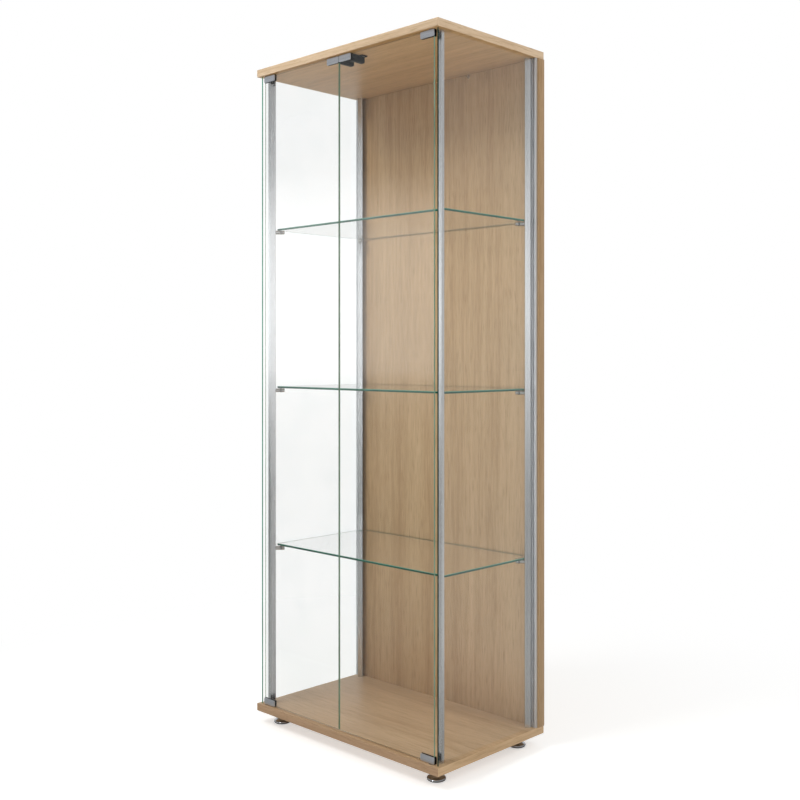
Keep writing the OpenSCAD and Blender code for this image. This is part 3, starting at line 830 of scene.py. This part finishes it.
def rearShares(tree, vector, rearSpan, leftSpan):
    # How far a place or a direction is behind the case, and how far behind it to the left
    parts = addNode(tree, "ShaderNodeSeparateXYZ", {"Vector": vector})
    rear, left = [
        addNode(tree, "ShaderNodeMapRange", {
            "Value": parts.outputs[axis], "From Min": start, "From Max": end},
            interpolation_type="SMOOTHSTEP").outputs["Result"]
        for axis, (start, end) in (("Y", rearSpan), ("X", leftSpan))]
    both = addNode(tree, "ShaderNodeMath", {0: rear, 1: left}, operation="MULTIPLY")
    return rear, both.outputs["Value"]


def seenWhite(tree):
    # White is 1 where it is seen straight, and a little more behind a pane
    ray = addNode(tree, "ShaderNodeLightPath")
    return addNode(tree, "ShaderNodeMath", {
        0: ray.outputs["Is Transmission Ray"], 1: studioSettings["glassGain"], 2: 1.0},
        operation="MULTIPLY_ADD").outputs["Value"]


def paintFloor():
    material, tree, shader = newMaterial("matt_white_floor_painted", {"Roughness": 0.8})
    seen, mirrored = rayKinds(tree)
    spot = addNode(tree, "ShaderNodeTexCoord").outputs["Object"]
    rear, rearLeft = rearShares(tree, spot, studioSettings["floorRear"],
                                studioSettings["floorLeft"])
    paint = addNode(tree, "ShaderNodeMix", {
        0: mirrored, 6: toLinear(studioSettings["floorColour"]),
        7: toLinear(studioSettings["mirroredFloor"])}, data_type="RGBA")
    tree.links.new(paint.outputs[2], shader.inputs["Base Color"])
    ray = addNode(tree, "ShaderNodeLightPath")
    lift = addNode(tree, "ShaderNodeMath", {
        0: ray.outputs["Is Diffuse Ray"], 1: studioSettings["floorBounce"]}, operation="MULTIPLY")
    for kind, share, amount in ((seen, 1.0, "floorLift"), (mirrored, rear, "floorShine"),
                                (mirrored, rearLeft, "shelfShine")):
        part = addNode(tree, "ShaderNodeMath", {0: kind, 1: share}, operation="MULTIPLY")
        lift = addNode(tree, "ShaderNodeMath", {
            0: part.outputs["Value"], 1: studioSettings[amount], 2: lift.outputs["Value"]},
            operation="MULTIPLY_ADD")
    glow = addNode(tree, "ShaderNodeEmission", {"Strength": lift.outputs["Value"]})
    lit = addNode(tree, "ShaderNodeAddShader", {
        0: shader.outputs["BSDF"], 1: glow.outputs["Emission"]})
    # Further out the floor turns into the surround
    reach = addNode(tree, "ShaderNodeVectorMath", {0: spot}, operation="LENGTH")
    fade = addNode(tree, "ShaderNodeMapRange", {
        "Value": reach.outputs["Value"], "From Min": studioSettings["fadeFrom"],
        "From Max": studioSettings["fadeTo"]}, interpolation_type="SMOOTHSTEP")
    far = addNode(tree, "ShaderNodeMapRange", {
        "Value": reach.outputs["Value"], "From Min": studioSettings["farFrom"],
        "From Max": studioSettings["farTo"]})
    away = addNode(tree, "ShaderNodeMath", {
        0: fade.outputs["Result"], 1: seen}, operation="MULTIPLY")
    away = addNode(tree, "ShaderNodeMath", {
        0: far.outputs["Result"], 1: mirrored, 2: away.outputs["Value"]},
        operation="MULTIPLY_ADD")
    surround = addNode(tree, "ShaderNodeMapRange", {
        "Value": rear, "To Min": studioSettings["aheadGlow"],
        "To Max": studioSettings["behindGlow"]})
    whiteness = addNode(tree, "ShaderNodeMix", {
        0: mirrored, 2: seenWhite(tree), 3: surround.outputs["Result"]}, data_type="FLOAT")
    white = addNode(tree, "ShaderNodeEmission", {"Strength": whiteness.outputs[0]})
    both = addNode(tree, "ShaderNodeMixShader", {
        0: away.outputs["Value"], 1: lit.outputs["Shader"], 2: white.outputs["Emission"]})
    tree.links.new(both.outputs["Shader"], tree.nodes["Material Output"].inputs["Surface"])
    return material


mesh = bpy.data.meshes.new("studio_floor")
shape = bmesh.new()
bmesh.ops.create_grid(shape, x_segments=1, y_segments=1, size=studioSettings["floorSize"] / 2)
shape.to_mesh(mesh)
shape.free()
floor = bpy.data.objects.new("studio_floor", mesh)
bpy.context.scene.collection.objects.link(floor)
mesh.materials.append(paintFloor())
floor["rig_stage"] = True

world = bpy.data.worlds.new("studio_surround")
bpy.context.scene.world = world
world.use_nodes = True
tree = world.node_tree
tree.nodes.clear()
seen, mirrored = rayKinds(tree)
direction = addNode(tree, "ShaderNodeTexCoord").outputs["Generated"]
rear, rearLeft = rearShares(tree, direction, studioSettings["skyRear"], studioSettings["skyLeft"])
parts = addNode(tree, "ShaderNodeSeparateXYZ", {"Vector": direction})
height = addNode(tree, "ShaderNodeMath", {0: parts.outputs["Z"], 1: 0.0}, operation="MAXIMUM")
walls, ahead, behind = [
    addNode(tree, "ShaderNodeValToRGB", {"Fac": height.outputs["Value"]},
            studioSettings[part]).outputs["Color"] for part in ("walls", "ahead", "behind")]
room = addNode(tree, "ShaderNodeBackground", {
    "Color": walls, "Strength": studioSettings["ambient"]})
around = addNode(tree, "ShaderNodeMix", {0: rear, 6: ahead, 7: behind}, data_type="RGBA")
around = addNode(tree, "ShaderNodeMix", {
    0: rearLeft, 6: around.outputs[2], 7: [studioSettings["shelfGlow"]] * 3 + [1]},
    data_type="RGBA")
mirror = addNode(tree, "ShaderNodeBackground", {
    "Color": around.outputs[2], "Strength": studioSettings["mirrorStrength"]})
white = addNode(tree, "ShaderNodeBackground", {
    "Color": [1, 1, 1, 1], "Strength": seenWhite(tree)})
soft = addNode(tree, "ShaderNodeMixShader", {
    0: mirrored, 1: room.outputs["Background"], 2: mirror.outputs["Background"]})
both = addNode(tree, "ShaderNodeMixShader", {
    0: seen, 1: soft.outputs["Shader"], 2: white.outputs["Background"]})
addNode(tree, "ShaderNodeOutputWorld", {"Surface": both.outputs["Shader"]})

# Glass, posts and plates would mirror the softboxes as hard white patches, so those are
# hidden from them. The glint lamp is small and low and only shows on the feet and the pegs.
lampSettings = {
    "key_softbox": {"power": 34, "size": 1.2, "place": (-0.6, -1.6, 2.7), "aim": (0, 0, 1.2),
                    "hiddenFrom": ("glossy", "transmission")},
    "fill_softbox": {"power": 20, "size": 1.4, "place": (2.3, 0.3, 2.3), "aim": (0, 0, 0.9),
                     "hiddenFrom": ("glossy", "transmission")},
    "glint_lamp": {"power": 30, "size": 0.35, "place": (0.3, -3.3, 0.35), "aim": (0, 0, 0.4),
                   "hiddenFrom": ("diffuse", "transmission")},
}
for name, settings in lampSettings.items():
    lampData = bpy.data.lights.new(name, "AREA")
    lampData.shape = "SQUARE"
    lampData.size = settings["size"]
    lampData.energy = settings["power"]
    lamp = bpy.data.objects.new(name, lampData)
    lamp.location = settings["place"]
    beam = Vector(settings["aim"]) - Vector(settings["place"])
    lamp.rotation_euler = beam.to_track_quat("-Z", "Y").to_euler()
    bpy.context.scene.collection.objects.link(lamp)
    for kind in settings["hiddenFrom"]:
        setattr(lamp, "visible_" + kind, False)
print("studio made")

low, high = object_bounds()
print("visual box:", [round(v, 4) for v in (*low, *high)])
